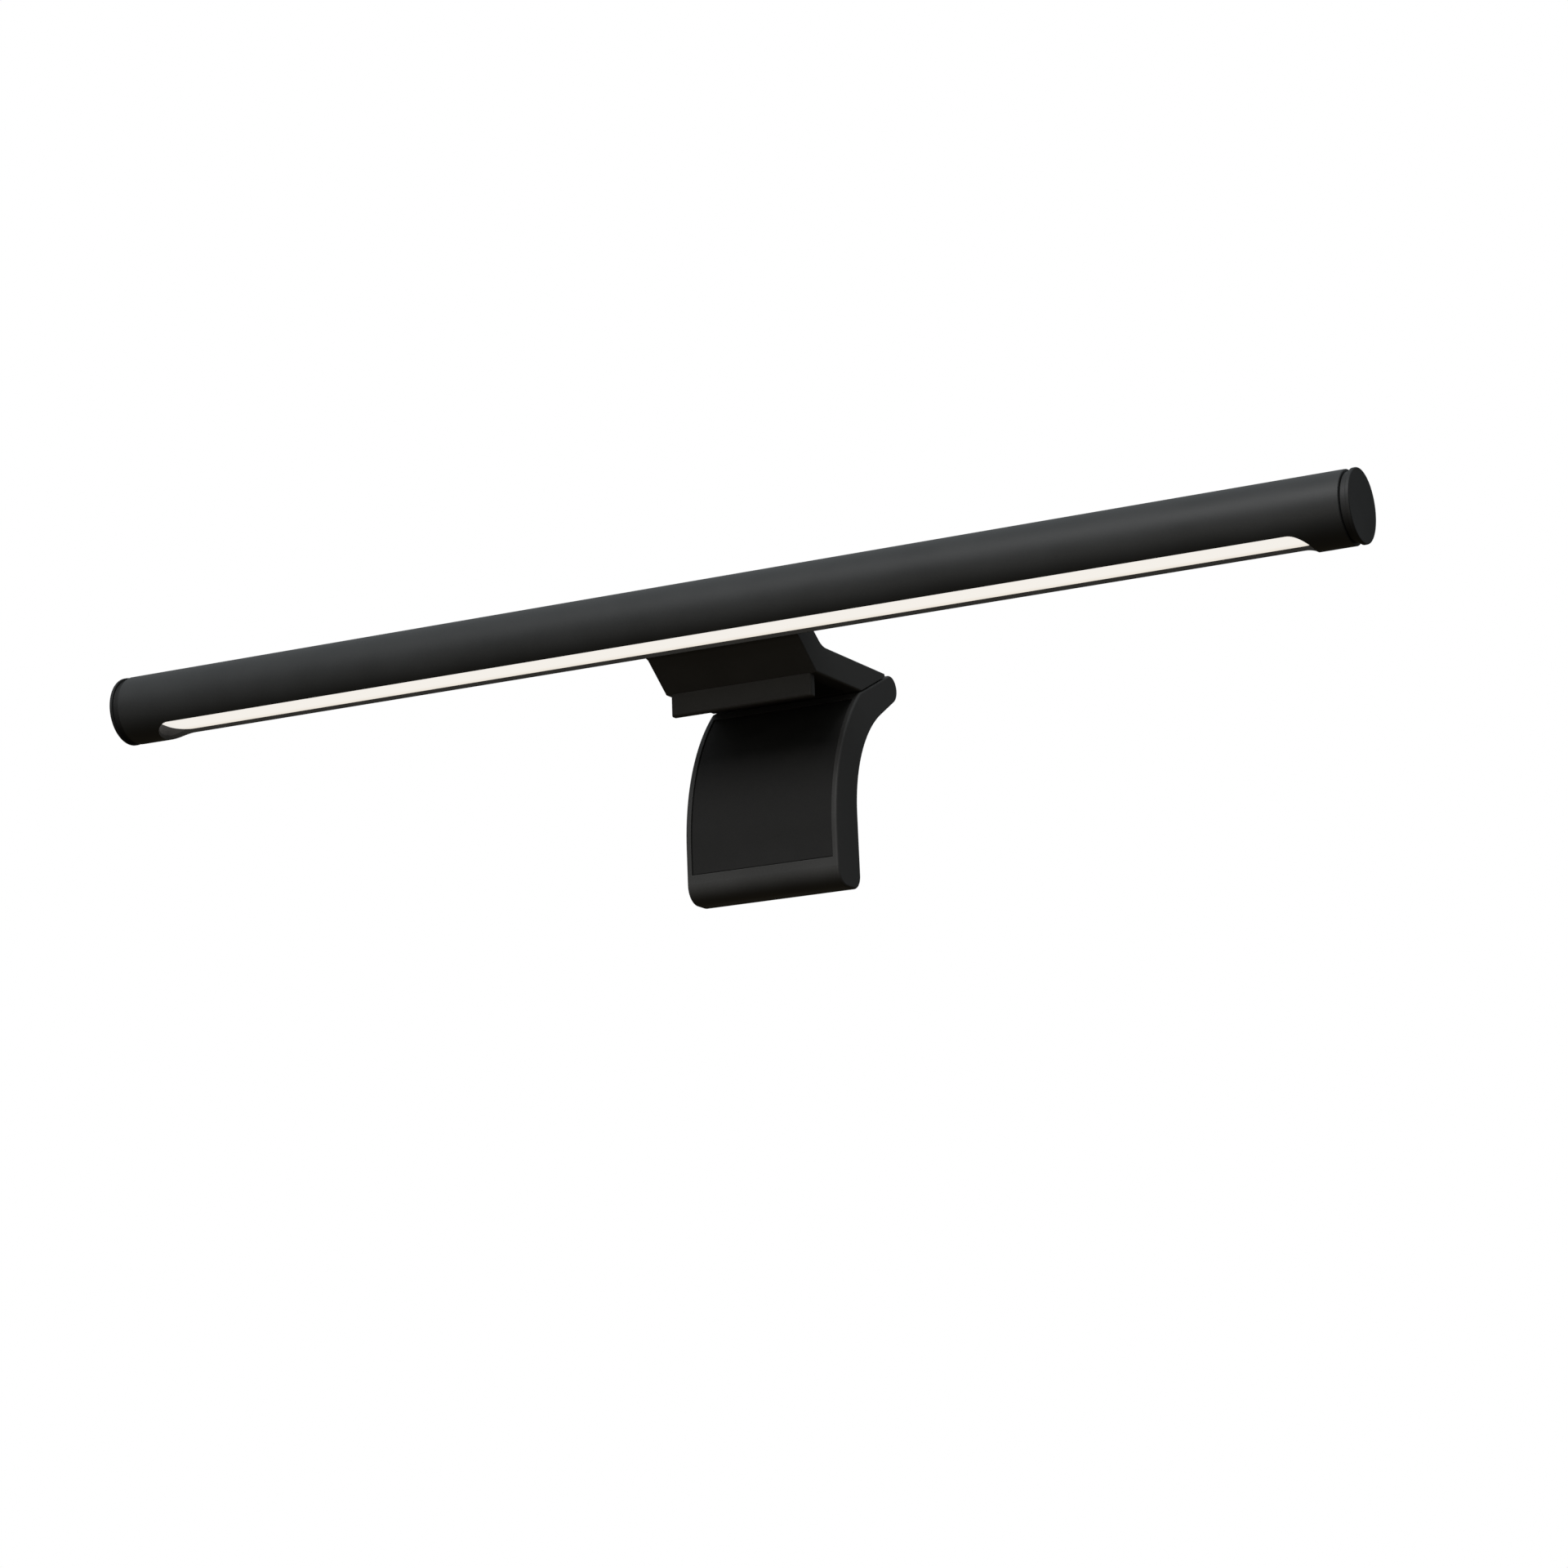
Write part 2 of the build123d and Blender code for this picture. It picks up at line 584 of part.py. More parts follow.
def bracket_body():
    body = along_x(bracket_outline(), -SIDE, SIDE)
    head_back = BAR_BACK + SEAT_R + SEAT_SQUARE
    seam_middle = (ARM_TIP_BACK + seam_point(SEAM_GAP, ARM_UNDER)[0]) / 2
    rounded = side_edges(body).filter_by(lambda edge: head_back < edge.center().Y < seam_middle - PROBE)
    body = fillet(rounded, EDGE_R)
    body += along_x(barrel_outline(0), -TONGUE_HALF_WIDTH, TONGUE_HALF_WIDTH)
    body -= cover_plate()
    body -= arm_cavity()
    body -= magnet_room()
    body -= hook_solid()
    body -= rest_pad()
    body -= Pos(0, PIVOT_BACK, PIVOT_UP) * rod(PIN_R + PIN_FIT + BUSH_WALL, -SIDE, SIDE)
    room = KNUCKLE_R + SEAM_GAP
    body -= block((-SPRING_GAP_HALF, SPRING_GAP_HALF), (PIVOT_BACK - room, PIVOT_BACK + room),
                  (PIVOT_UP - room, PIVOT_UP + 2 * room))
    body -= spring_tail(SPRING_TAIL_FIT)
    for x, y in cover_screw_places():
        body -= Pos(x, y, FLANGE_UNDER) * screw_room(ARM_TOP)
    for place in hook_screw_places():
        body -= Pos(*place) * post(SCREW_R, 0, hook_screw_length())
    return body


def bracket_cover():
    floor = FLANGE_TOP + ARM_FLOOR
    cover = cover_plate()
    for x, y in cover_screw_places():
        cover += Pos(x, y, 0) * post(COVER_POST_R, floor, ARM_TOP - COVER_T)
        cover -= Pos(x, y, 0) * post(SCREW_R, floor, cover_screw_top())
    return cover


def cover_screw_top():
    return ARM_TOP - COVER_SCREW_SKIN


def cover_screws():
    length = cover_screw_top() - FLANGE_UNDER
    return [Pos(x, y, FLANGE_UNDER) * screw(length) for x, y in cover_screw_places()]


def hook_solid():
    """L-shaped plate: a lip in front of the display and a flange let into the arm."""
    back = HOOK_FRONT + HOOK_T
    step = -REST_PAD_HALF_DEPTH
    outline = Polyline(
        (HOOK_FRONT, -HOOK_DROP),
        (back, -HOOK_DROP),
        (back, ARM_UNDER),
        (step, ARM_UNDER),
        (step, FLANGE_UNDER),
        (FLANGE_BACK, FLANGE_UNDER),
        (FLANGE_BACK, FLANGE_TOP),
        (HOOK_FRONT, FLANGE_TOP),
        (HOOK_FRONT, -HOOK_DROP),
    )
    plate = along_x(make_face(outline), -HOOK_HALF_WIDTH, HOOK_HALF_WIDTH)
    corners = plate.edges().filter_by(Axis.Y).group_by(Axis.Z)[0]
    plate = fillet(corners, HOOK_CORNER_R)
    tip = plate.edges().filter_by(Axis.X).group_by(Axis.Z)[0]
    return fillet(tip, HOOK_EDGE_R)


def hook_screw_places():
    return [(x, HOOK_SCREW_Y, FLANGE_UNDER) for x in (-HOOK_SCREW_X, 0, HOOK_SCREW_X)]


def hook_screw_length():
    return FLANGE_T + HOOK_SCREW_GRIP


def hook_plate():
    plate = hook_solid()
    for place in hook_screw_places():
        plate -= Pos(*place) * screw_room(hook_screw_length())
    return plate


def hook_screws():
    return [Pos(*place) * screw(hook_screw_length()) for place in hook_screw_places()]


def lip_pad():
    back = HOOK_FRONT + HOOK_T
    half = HOOK_HALF_WIDTH - LIP_PAD_MARGIN
    low = -HOOK_DROP + HOOK_EDGE_R + LIP_PAD_LOW
    pad = block((-half, half), (back, back + LIP_PAD_T), (low, LIP_PAD_TOP))
    return fillet(pad.edges().filter_by(Axis.Y), LIP_PAD_CORNER_R)


def rest_pad():
    wide = REST_PAD_HALF_WIDTH
    deep = REST_PAD_HALF_DEPTH
    pad = block((-wide, wide), (-deep, deep), (0, REST_PAD_T))
    return fillet(pad.edges().filter_by(Axis.Z), REST_PAD_CORNER_R)


def saddle_pad():
    sector = ring_sector(TUBE_R + SEAT_GAP, SEAT_R, SEAT_LOW + SEAT_PAD_TRIM, SEAT_HIGH - SEAT_PAD_TRIM)
    return SEAT_PLACE * along_x(sector, -SIDE + SEAT_PAD_MARGIN, SIDE - SEAT_PAD_MARGIN)


def seat_magnets():
    middle = MAGNET_FRONT_R + MAGNET_SIZE[1] / 2
    places = [(step - (MAGNET_COUNT - 1) / 2) * MAGNET_PITCH for step in range(MAGNET_COUNT)]
    return [HEAD_PLACE * Pos(x, middle, 0) * Box(*MAGNET_SIZE) for x in places]


def magnet_yoke():
    tall = MAGNET_SIZE[2] / 2
    depth = (YOKE_FRONT_R, YOKE_FRONT_R + YOKE_T)
    return HEAD_PLACE * block((-YOKE_HALF_WIDTH, YOKE_HALF_WIDTH), depth, (-tall, tall))


# ---- The hinge's pieces ----

def at_pivot(solid):
    return Pos(0, PIVOT_BACK, PIVOT_UP) * solid


def hinge_pin():
    pin = rod(PIN_R, -SIDE + PIN_INSET, PIN_END)
    return at_pivot(chamfer(pin.edges().filter_by(GeomType.CIRCLE), PIN_CHAMFER))


def hinge_bushes():
    inner = PIN_R + PIN_FIT
    bush = along_x(Circle(inner + BUSH_WALL) - Circle(inner), SPRING_GAP_HALF, TONGUE_HALF_WIDTH)
    return [at_pivot(bush), at_pivot(mirror(bush, Plane.YZ))]


def spring_tail(grow):
    """Straight end of the spring, laid along the tongue beside its last turn."""
    x = SPRING_TURNS * SPRING_WIRE_R - SPRING_WIRE_R
    length = PIVOT_BACK - SPRING_TAIL_BACK + grow
    middle = Pos(x, PIVOT_BACK - length / 2, PIVOT_UP + SPRING_COIL_R)
    return middle * Rot(90, 0, 0) * Cylinder(SPRING_WIRE_R + grow, length)


def torsion_spring():
    """Close-wound coil drawn as touching rings, with the tail that bears on the arm."""
    half = (SPRING_TURNS - 1) * SPRING_WIRE_R
    section = Pos(0, SPRING_COIL_R) * Rectangle(2 * half, SPRING_WIRE_R)
    for step in range(SPRING_TURNS):
        section += Pos(-half + 2 * SPRING_WIRE_R * step, SPRING_COIL_R) * Circle(SPRING_WIRE_R)
    coil = revolve(section, Axis.X, 360)
    return at_pivot(coil) + spring_tail(0)


# ---- The rear leg's pieces ----

def leg_outline():
    """Side of the leg: hinge knuckle, bent upper part, lower part and round foot."""
    seam = math.radians(SEAM_RISE)
    rise = math.radians(LEG_BACK_RISE)
    seam_end = (PIVOT_BACK - KNUCKLE_R * math.sin(seam), PIVOT_UP + KNUCKLE_R * math.cos(seam))
    back_end = (PIVOT_BACK + KNUCKLE_R * math.sin(rise), PIVOT_UP - KNUCKLE_R * math.cos(rise))
    back_bend = (LEG_BACK, back_end[1] - (back_end[0] - LEG_BACK) * math.tan(rise))
    outline = FilletPolyline(
        seam_end,
        seam_point(0, LEG_TOP_UP),
        LEG_BEND,
        (FOOT_FRONT, FOOT_UNDER),
        (FOOT_BACK, FOOT_UNDER),
        back_bend,
        back_end,
        (PIVOT_BACK, PIVOT_UP),
        seam_end,
        radius=[0, 0, LEG_BEND_R, FOOT_FRONT_R, FOOT_BACK_R, LEG_BACK_BEND_R, 0, 0],
    )
    return make_face(outline) + Pos(PIVOT_BACK, PIVOT_UP) * Circle(KNUCKLE_R)


def band(low, high):
    """Everything between two heights."""
    return Pos(0, (low + high) / 2) * Rectangle(REACH, high - low)


def behind_leg_middle():
    """Everything behind a line up the middle of the leg, from the foot to the pivot."""
    low = FOOT_UNDER - FOOT_FRONT_R
    start = ((FOOT_FRONT + FOOT_BACK) / 2, low)
    far = PIVOT_BACK + BRACKET_WIDTH
    line = Polyline(start, LEG_MIDDLE_BEND, (PIVOT_BACK, PIVOT_UP), (far, PIVOT_UP), (far, low), start)
    return make_face(line)


def leg_inset(depth):
    return offset(LEG, amount=-depth)


def pad_recess(depth, margin):
    """Front skin of the leg down to a depth, between the pad's ends."""
    skin = (LEG - leg_inset(depth)) & band(LEG_PAD_BOTTOM + margin, LEG_PAD_TOP - margin)
    return skin - behind_leg_middle()


def cover_section():
    skin = (LEG - leg_inset(LEG_COVER_T)) & band(LEG_COVER_BOTTOM, LEG_COVER_TOP)
    return skin & behind_leg_middle()


def cavity_section():
    margin = LEG_CAVITY_MARGIN
    room = leg_inset(FRONT_WALL_DEPTH) + (leg_inset(LEG_COVER_T) & behind_leg_middle())
    return room & band(LEG_COVER_BOTTOM + margin, LEG_COVER_TOP - margin)


def span_at(outline, height):
    """Front and back of an outline at one height."""
    box = (outline & band(height - PROBE, height + PROBE)).bounding_box()
    return (box.min.X, box.max.X)


def leg_screw_places():
    """Where each leg screw's head sits, as (x, back, up), facing the front."""
    under_pad = leg_inset(PAD_DEPTH)
    places = []
    for height in LEG_SCREW_HEIGHTS:
        seat = span_at(under_pad, height + HEAD_R)[0] + LEG_SCREW_SINK
        places += [(x, seat, height) for x in (-LEG_SCREW_X, LEG_SCREW_X)]
    return places


def leg_screw_length(place):
    return span_at(LEG, place[2])[1] - place[1] - LEG_COVER_T - LEG_SCREW_SKIN


def facing_back(place):
    """Placement that turns +Z to point behind the leg."""
    return Pos(*place) * Rot(-90, 0, 0)


def leg_screw_bosses():
    cavity = leg_inset(FRONT_WALL_DEPTH)
    bosses = []
    for x, _, height in leg_screw_places():
        start = span_at(cavity, height + LEG_BOSS_R)[0] + LEG_BOSS_GAP
        depth = span_at(LEG, height)[1] - start - LEG_COVER_T / 2
        bosses.append(facing_back((x, start, height)) * post(LEG_BOSS_R, 0, depth))
    return bosses


def leg_shell():
    shell = along_x(LEG, -SIDE, SIDE)
    shell = fillet(side_edges(shell), EDGE_R)
    notch = TONGUE_HALF_WIDTH + CHEEK_GAP
    shell -= along_x(barrel_outline(SEAM_GAP), -notch, notch)
    half = SIDE - LEG_RIM
    shell -= along_x(pad_recess(PAD_DEPTH, 0), -half, half)
    shell -= along_x(cover_section(), -half, half)
    inner = half - LEG_CAVITY_MARGIN
    shell -= along_x(cavity_section(), -inner, inner)
    shell -= at_pivot(rod(PIN_R, -SIDE, PIN_END))
    for place in leg_screw_places():
        shell -= facing_back(place) * screw_room(LEG_SCREW_GRIP)
        shell -= facing_back(place) * post(HEAD_R, -LEG_ACCESS, 0)
    return shell


def leg_back_cover():
    half = SIDE - LEG_RIM
    cover = along_x(cover_section(), -half, half)
    for boss in leg_screw_bosses():
        cover += boss
    for place in leg_screw_places():
        cover -= facing_back(place) * post(SCREW_R, 0, leg_screw_length(place))
    return cover


def counterweight():
    """Steel slab between the two rows of screw bosses."""
    half = LEG_SCREW_X - LEG_BOSS_R - WEIGHT_FIT
    return along_x(leg_inset(FRONT_WALL_DEPTH + WEIGHT_FIT) & band(WEIGHT_BOTTOM, WEIGHT_TOP), -half, half)


def leg_pad():
    half = SIDE - LEG_RIM - LEG_PAD_FIT
    section = pad_recess(PAD_DEPTH, LEG_PAD_FIT) - pad_recess(LEG_PAD_INSET, 0)
    return along_x(section, -half, half)


def leg_screws():
    return [facing_back(place) * screw(leg_screw_length(place)) for place in leg_screw_places()]


LEG = leg_outline()

NODES = {
    "tube_housing": tube_housing,
    "end_cap_left": lambda: end_cap(-1),
    "end_cap_right": lambda: end_cap(1),
    "end_plates": end_plates,
    "end_screws": end_screws,
    "diffuser": diffuser,
    "slot_end_blocks": slot_end_blocks,
    "led_carrier": led_carrier,
    "led_board": led_board,
    "warm_leds": lambda: leds(0),
    "cool_leds": lambda: leds(1),
    "main_board": main_board,
    "radio_shield": radio_shield,
    "board_parts": board_parts,
    "board_screws": board_screws,
    "usb_socket": usb_socket,
    "usb_board": usb_board,
    "keeper_plate": keeper_plate,
    "bracket_body": bracket_body,
    "bracket_cover": bracket_cover,
    "cover_screws": cover_screws,
    "hook_plate": hook_plate,
    "hook_screws": hook_screws,
    "lip_pad": lip_pad,
    "rest_pad": rest_pad,
    "saddle_pad": saddle_pad,
    "seat_magnets": seat_magnets,
    "magnet_yoke": magnet_yoke,
    "hinge_bushes": hinge_bushes,
    "torsion_spring": torsion_spring,
    "hinge_pin": hinge_pin,
    "leg_shell": leg_shell,
    "leg_back_cover": leg_back_cover,
    "counterweight": counterweight,
    "leg_pad": leg_pad,
    "leg_screws": leg_screws,
}

for name, make in NODES.items():
    made = make()
    pieces = made if isinstance(made, list) else [made]
    solids = [solid for piece in pieces for solid in piece.solids()]
    export_step(Compound(children=solids), f"parts/{name}.step")
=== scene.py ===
import json
import math

import bmesh
import bpy
from mathutils import Matrix, Vector


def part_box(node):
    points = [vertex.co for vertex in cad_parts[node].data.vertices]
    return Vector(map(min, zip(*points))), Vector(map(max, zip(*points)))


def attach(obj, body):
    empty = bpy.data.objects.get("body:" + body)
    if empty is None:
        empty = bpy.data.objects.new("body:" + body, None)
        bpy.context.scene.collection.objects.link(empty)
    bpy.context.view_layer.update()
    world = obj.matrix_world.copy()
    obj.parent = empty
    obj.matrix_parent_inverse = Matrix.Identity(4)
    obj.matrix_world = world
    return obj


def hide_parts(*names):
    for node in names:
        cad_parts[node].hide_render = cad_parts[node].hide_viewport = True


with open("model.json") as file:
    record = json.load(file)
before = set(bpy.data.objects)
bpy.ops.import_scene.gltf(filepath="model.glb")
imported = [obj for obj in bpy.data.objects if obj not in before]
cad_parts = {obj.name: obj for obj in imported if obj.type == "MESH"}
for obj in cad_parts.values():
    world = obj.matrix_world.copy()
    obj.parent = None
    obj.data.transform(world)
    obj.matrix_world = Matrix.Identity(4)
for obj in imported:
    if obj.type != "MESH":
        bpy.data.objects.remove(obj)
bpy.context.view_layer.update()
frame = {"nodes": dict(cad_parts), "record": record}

MM = 0.001
NODES = frame["nodes"]


# ---- Camera ----

CAMERA_TARGET = Vector((16.3, -20.3, -35.4)) * MM
CAMERA_DISTANCE = 1.3908
CAMERA_AZIMUTH = 27.51
CAMERA_ELEVATION = -12.44
CAMERA_ROLL = -1.92
CAMERA_LENS = 100.36


def make_camera():
    """Camera below and to the right of the bar's middle, looking up at it with a slight roll."""
    turn = math.radians(CAMERA_AZIMUTH)
    rise = math.radians(CAMERA_ELEVATION)
    back = Vector((math.sin(turn) * math.cos(rise), -math.cos(turn) * math.cos(rise), math.sin(rise)))
    level = Vector((math.cos(turn), math.sin(turn), 0))
    axes = Matrix((level, back.cross(level), back)).transposed()
    data = bpy.data.cameras.new("camera")
    data.lens = CAMERA_LENS
    camera = bpy.data.objects.new("camera", data)
    bpy.context.collection.objects.link(camera)
    spin = Matrix.Rotation(math.radians(CAMERA_ROLL), 3, "Z")
    place = (axes @ spin).to_4x4()
    place.translation = CAMERA_TARGET + back * CAMERA_DISTANCE
    camera.matrix_world = place
    bpy.context.scene.camera = camera


# ---- Materials ----
# Grains, depths and reaches are millimetres, and a shade is how much light a colour gives back.

MIX_FACTOR, MIX_FIRST, MIX_SECOND, MIX_RESULT = 0, 6, 7, 2      # a mix node's sockets for colours
BEVEL_SAMPLES = 6
EDGE_COSINES = (0.86, 0.995)        # a rounded normal that turns this far marks an edge
EDGE_WEAR_AND_HIGHLIGHT_REACH = 0.35                    # wear and painted highlight along an edge
COOL = (0.96, 1.0, 1.02)
NEUTRAL = (1.0, 1.0, 0.985)
WARM = (1.0, 0.98, 0.95)
BLUISH = (1.0, 1.0, 1.02)
YELLOWISH = (1.0, 0.99, 0.96)


class Shader:
    """A node material that is built one step at a time."""

    def __init__(self, name):
        self.material = bpy.data.materials.new(name)
        self.material.use_nodes = True
        self.tree = self.material.node_tree
        self.principled = self.tree.nodes["Principled BSDF"]
        self.place = self.add("ShaderNodeTexCoord").outputs["Object"]

    def add(self, kind, **settings):
        """New node, with its settings and the values or links of its inputs."""
        node = self.tree.nodes.new(kind)
        for key, value in settings.items():
            if hasattr(node, key):
                setattr(node, key, value)
            else:
                self.set(node, key.replace("_", " "), value)
        return node

    def set(self, node, socket, value):
        """Gives an input a value, or joins an output to it."""
        target = node.inputs[socket]
        if isinstance(value, bpy.types.NodeSocket):
            self.tree.links.new(value, target)
        else:
            target.default_value = value

    def maths(self, operation, *values):
        """Result of one sum on values or outputs."""
        node = self.add("ShaderNodeMath", operation=operation)
        for socket, value in enumerate(values):
            self.set(node, socket, value)
        return node.outputs["Value"]

    def noise(self, grain, detail=2.0, roughness=0.5, stretch=(1, 1, 1)):
        """Noise whose features are about one grain across."""
        place = self.place
        if stretch != (1, 1, 1):
            place = self.add("ShaderNodeMapping", Vector=place, Scale=stretch).outputs["Vector"]
        scale = 1 / (grain * MM)
        node = self.add("ShaderNodeTexNoise", Vector=place, Scale=scale, Detail=detail, Roughness=roughness)
        return node.outputs["Fac"]

    def cells(self, grain):
        """Distance field of cells about one grain across."""
        node = self.add("ShaderNodeTexVoronoi", Vector=self.place, Scale=1 / (grain * MM))
        return node.outputs["Distance"]

    def span(self, value, low, high, start=0.0, end=1.0):
        """Moves a value from the range start to end into the range low to high, clamped."""
        node = self.add("ShaderNodeMapRange", Value=value,
                        From_Min=start, From_Max=end, To_Min=low, To_Max=high)
        return node.outputs["Result"]

    def blend(self, factor, first, second):
        """Colour between two colours."""
        node = self.add("ShaderNodeMix", data_type="RGBA")
        for socket, value in ((MIX_FACTOR, factor), (MIX_FIRST, first), (MIX_SECOND, second)):
            self.set(node, socket, value)
        return node.outputs[MIX_RESULT]

    def rounded(self, reach):
        """Normal that turns smoothly over the edges."""
        return self.add("ShaderNodeBevel", samples=BEVEL_SAMPLES, Radius=reach * MM).outputs["Normal"]

    def edges(self, reach):
        """1 along edges and 0 elsewhere, from how far a rounded normal turns."""
        same = self.add("ShaderNodeVectorMath", operation="DOT_PRODUCT")
        self.set(same, 0, self.rounded(reach))
        self.set(same, 1, self.add("ShaderNodeNewGeometry").outputs["Normal"])
        return self.span(same.outputs["Value"], 1.0, 0.0, *EDGE_COSINES)

    def bump(self, height, depth, round_edges=0.0):
        """Surface relief of a depth, over normals that may be rounded at the edges."""
        node = self.add("ShaderNodeBump", Height=height, Distance=depth * MM, Strength=1.0)
        if round_edges:
            self.set(node, "Normal", self.rounded(round_edges))
        self.set(self.principled, "Normal", node.outputs["Normal"])

    def look(self, **sockets):
        """Sets inputs of the main shader; an underscore in a name stands for a space."""
        for key, value in sockets.items():
            self.set(self.principled, key.replace("_", " "), value)
        return self.material


def grey(value, tint=(1, 1, 1)):
    return (value * tint[0], value * tint[1], value * tint[2], 1)


def speckled_coat(name, shade, tint, grain, depth, roughness, edge_wear_and_highlight):
    """Matte dark coat: fine relief, cloudy sheen, and edges painted lighter, partly as wear and partly as a
    painted highlight.
    """
    coat = Shader(name)
    clouds = coat.noise(grain=24.0, detail=3.0)
    fine = coat.noise(grain, detail=3.0, roughness=0.6)
    dark = grey(shade * 0.9, tint)
    light = grey(shade * 1.12, tint)
    base = coat.blend(coat.span(clouds, 0, 1, start=0.35, end=0.65), dark, light)
    speck = coat.blend(coat.span(fine, 0, 0.35, start=0.45, end=0.75), base, grey(shade * 1.5, tint))
    # Edges painted lighter: partly wear, partly a painted highlight standing in for light on the rims.
    wear_and_highlight = coat.blend(coat.edges(EDGE_WEAR_AND_HIGHLIGHT_REACH), speck, grey(shade * edge_wear_and_highlight, tint))
    coat.bump(fine, depth, round_edges=0.25)
    rough = coat.span(clouds, roughness - 0.04, roughness + 0.05, start=0.3, end=0.7)
    return coat.look(Base_Color=wear_and_highlight, Roughness=rough, Specular_IOR_Level=0.25)


def moulded_soft(name, shade, tint):
    """Silicone: dull, with a very fine grain and faint dust."""
    soft = Shader(name)
    dust = soft.noise(grain=9.0, detail=4.0)
    dusty = soft.span(dust, 0, 1, start=0.4, end=0.7)
    base = soft.blend(dusty, grey(shade, tint), grey(shade * 1.25, tint))
    soft.bump(soft.cells(grain=0.22), depth=0.02, round_edges=0.15)
    rough = soft.span(dust, 0.66, 0.78, start=0.3, end=0.7)
    return soft.look(Base_Color=base, Roughness=rough, Specular_IOR_Level=0.15)


def opal(name):
    """Lit diffuser: even warm white, a little dimmer along its edges."""
    lens = Shader(name)
    low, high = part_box("diffuser")
    middle = (low[1] + high[1]) / 2
    half = (high[1] - low[1]) / 2
    back = lens.add("ShaderNodeSeparateXYZ", Vector=lens.place).outputs["Y"]
    far = lens.maths("ABSOLUTE", lens.maths("SUBTRACT", back, middle))
    edge = lens.span(far, 0, 1, start=half * 0.55, end=half)
    glow = lens.blend(edge, (1.0, 0.965, 0.915, 1), (0.93, 0.86, 0.76, 1))
    plastic = lens.blend(edge, (0.55, 0.54, 0.52, 1), (0.4, 0.38, 0.34, 1))
    lens.bump(lens.noise(grain=0.4), depth=0.01)
    return lens.look(Base_Color=plastic, Roughness=0.5, Specular_IOR_Level=0.2,
                     Emission_Color=glow, Emission_Strength=0.86)


def bright_metal(name, shade, tint, roughness, brushed=(1, 1, 1)):
    """Plated or bare metal with fine drawn lines."""
    metal = Shader(name)
    lines = metal.noise(grain=0.6, detail=4.0, stretch=brushed)
    stained = metal.span(metal.noise(grain=6.0, detail=3.0), 0, 1, start=0.4, end=0.7)
    base = metal.blend(stained, grey(shade, tint), grey(shade * 0.8, tint))
    metal.bump(lines, depth=0.01, round_edges=0.1)
    rough = metal.span(lines, roughness, roughness + 0.12, start=0.3, end=0.7)
    return metal.look(Base_Color=base, Metallic=1.0, Roughness=rough)


def board_mask(name):
    """Green solder mask over a pattern of copper tracks."""
    board = Shader(name)
    line = board.add("ShaderNodeTexBrick", Vector=board.place, Scale=1 / (1.6 * MM)).outputs["Fac"]
    base = board.blend(line, (0.012, 0.085, 0.035, 1), (0.03, 0.16, 0.07, 1))
    mottle = board.span(board.noise(grain=1.2), 0, 0.5, start=0.4, end=0.8)
    board.bump(line, depth=0.02)
    return board.look(Base_Color=board.blend(mottle, base, (0.01, 0.06, 0.03, 1)), Roughness=0.32)


def phosphor(name, colour):
    """Light source: grainy phosphor in a pale case."""
    chip = Shader(name)
    grain = chip.noise(grain=0.3, detail=3.0)
    base = chip.blend(chip.span(grain, 0, 1, start=0.35, end=0.7), colour, (0.9, 0.88, 0.8, 1))
    chip.bump(grain, depth=0.02)
    return chip.look(Base_Color=base, Roughness=0.5, Emission_Color=base, Emission_Strength=1.5)


def dull_plastic(name, colour, roughness):
    """Plain moulded plastic with flow marks."""
    part = Shader(name)
    flow = part.span(part.noise(grain=5.0, detail=4.0, stretch=(0.4, 1, 1)), 0, 1, start=0.35, end=0.7)
    darker = tuple(channel * 0.8 for channel in colour[:3]) + (1,)
    part.bump(part.noise(grain=0.25), depth=0.015, round_edges=0.15)
    return part.look(Base_Color=part.blend(flow, colour, darker), Roughness=roughness)


def make_materials():
    """One material for each slot of the record."""
    return {
        "bar_shell": speckled_coat(
            "bar_shell", shade=0.0178, tint=COOL, grain=0.16, depth=0.016, roughness=0.5, edge_wear_and_highlight=1.4),
        "bar_cap": speckled_coat(
            "bar_cap", shade=0.0095, tint=COOL, grain=0.2, depth=0.02, roughness=0.54, edge_wear_and_highlight=1.3),
        "diffuser": opal("diffuser"),
        "bracket_plastic": speckled_coat(
            "bracket_plastic", shade=0.025, tint=NEUTRAL, grain=0.26, depth=0.03, roughness=0.56, edge_wear_and_highlight=1.15),
        "soft_pad": moulded_soft("soft_pad", shade=0.0098, tint=NEUTRAL),
        "steel": bright_metal("steel", shade=0.55, tint=BLUISH, roughness=0.3),
        "spring_steel": bright_metal(
            "spring_steel", shade=0.15, tint=WARM, roughness=0.36, brushed=(1, 4, 4)),
        "bearing_plastic": dull_plastic("bearing_plastic", (0.78, 0.76, 0.7, 1), roughness=0.35),
        "magnet": bright_metal("magnet", shade=0.66, tint=YELLOWISH, roughness=0.16),
        "reflector": dull_plastic("reflector", (0.82, 0.82, 0.8, 1), roughness=0.4),
        "circuit_board": board_mask("circuit_board"),
        "led_warm": phosphor("led_warm", (0.85, 0.5, 0.08, 1)),
        "led_cool": phosphor("led_cool", (0.85, 0.75, 0.2, 1)),
        "chip": dull_plastic("chip", (0.02, 0.02, 0.02, 1), roughness=0.45),
        "inner_plastic": dull_plastic("inner_plastic", (0.03, 0.03, 0.032, 1), roughness=0.5),
    }


def paint(piece, material):
    piece.data.materials.clear()
    piece.data.materials.append(material)


# ---- Pieces drawn here in place of plainer CAD nodes ----

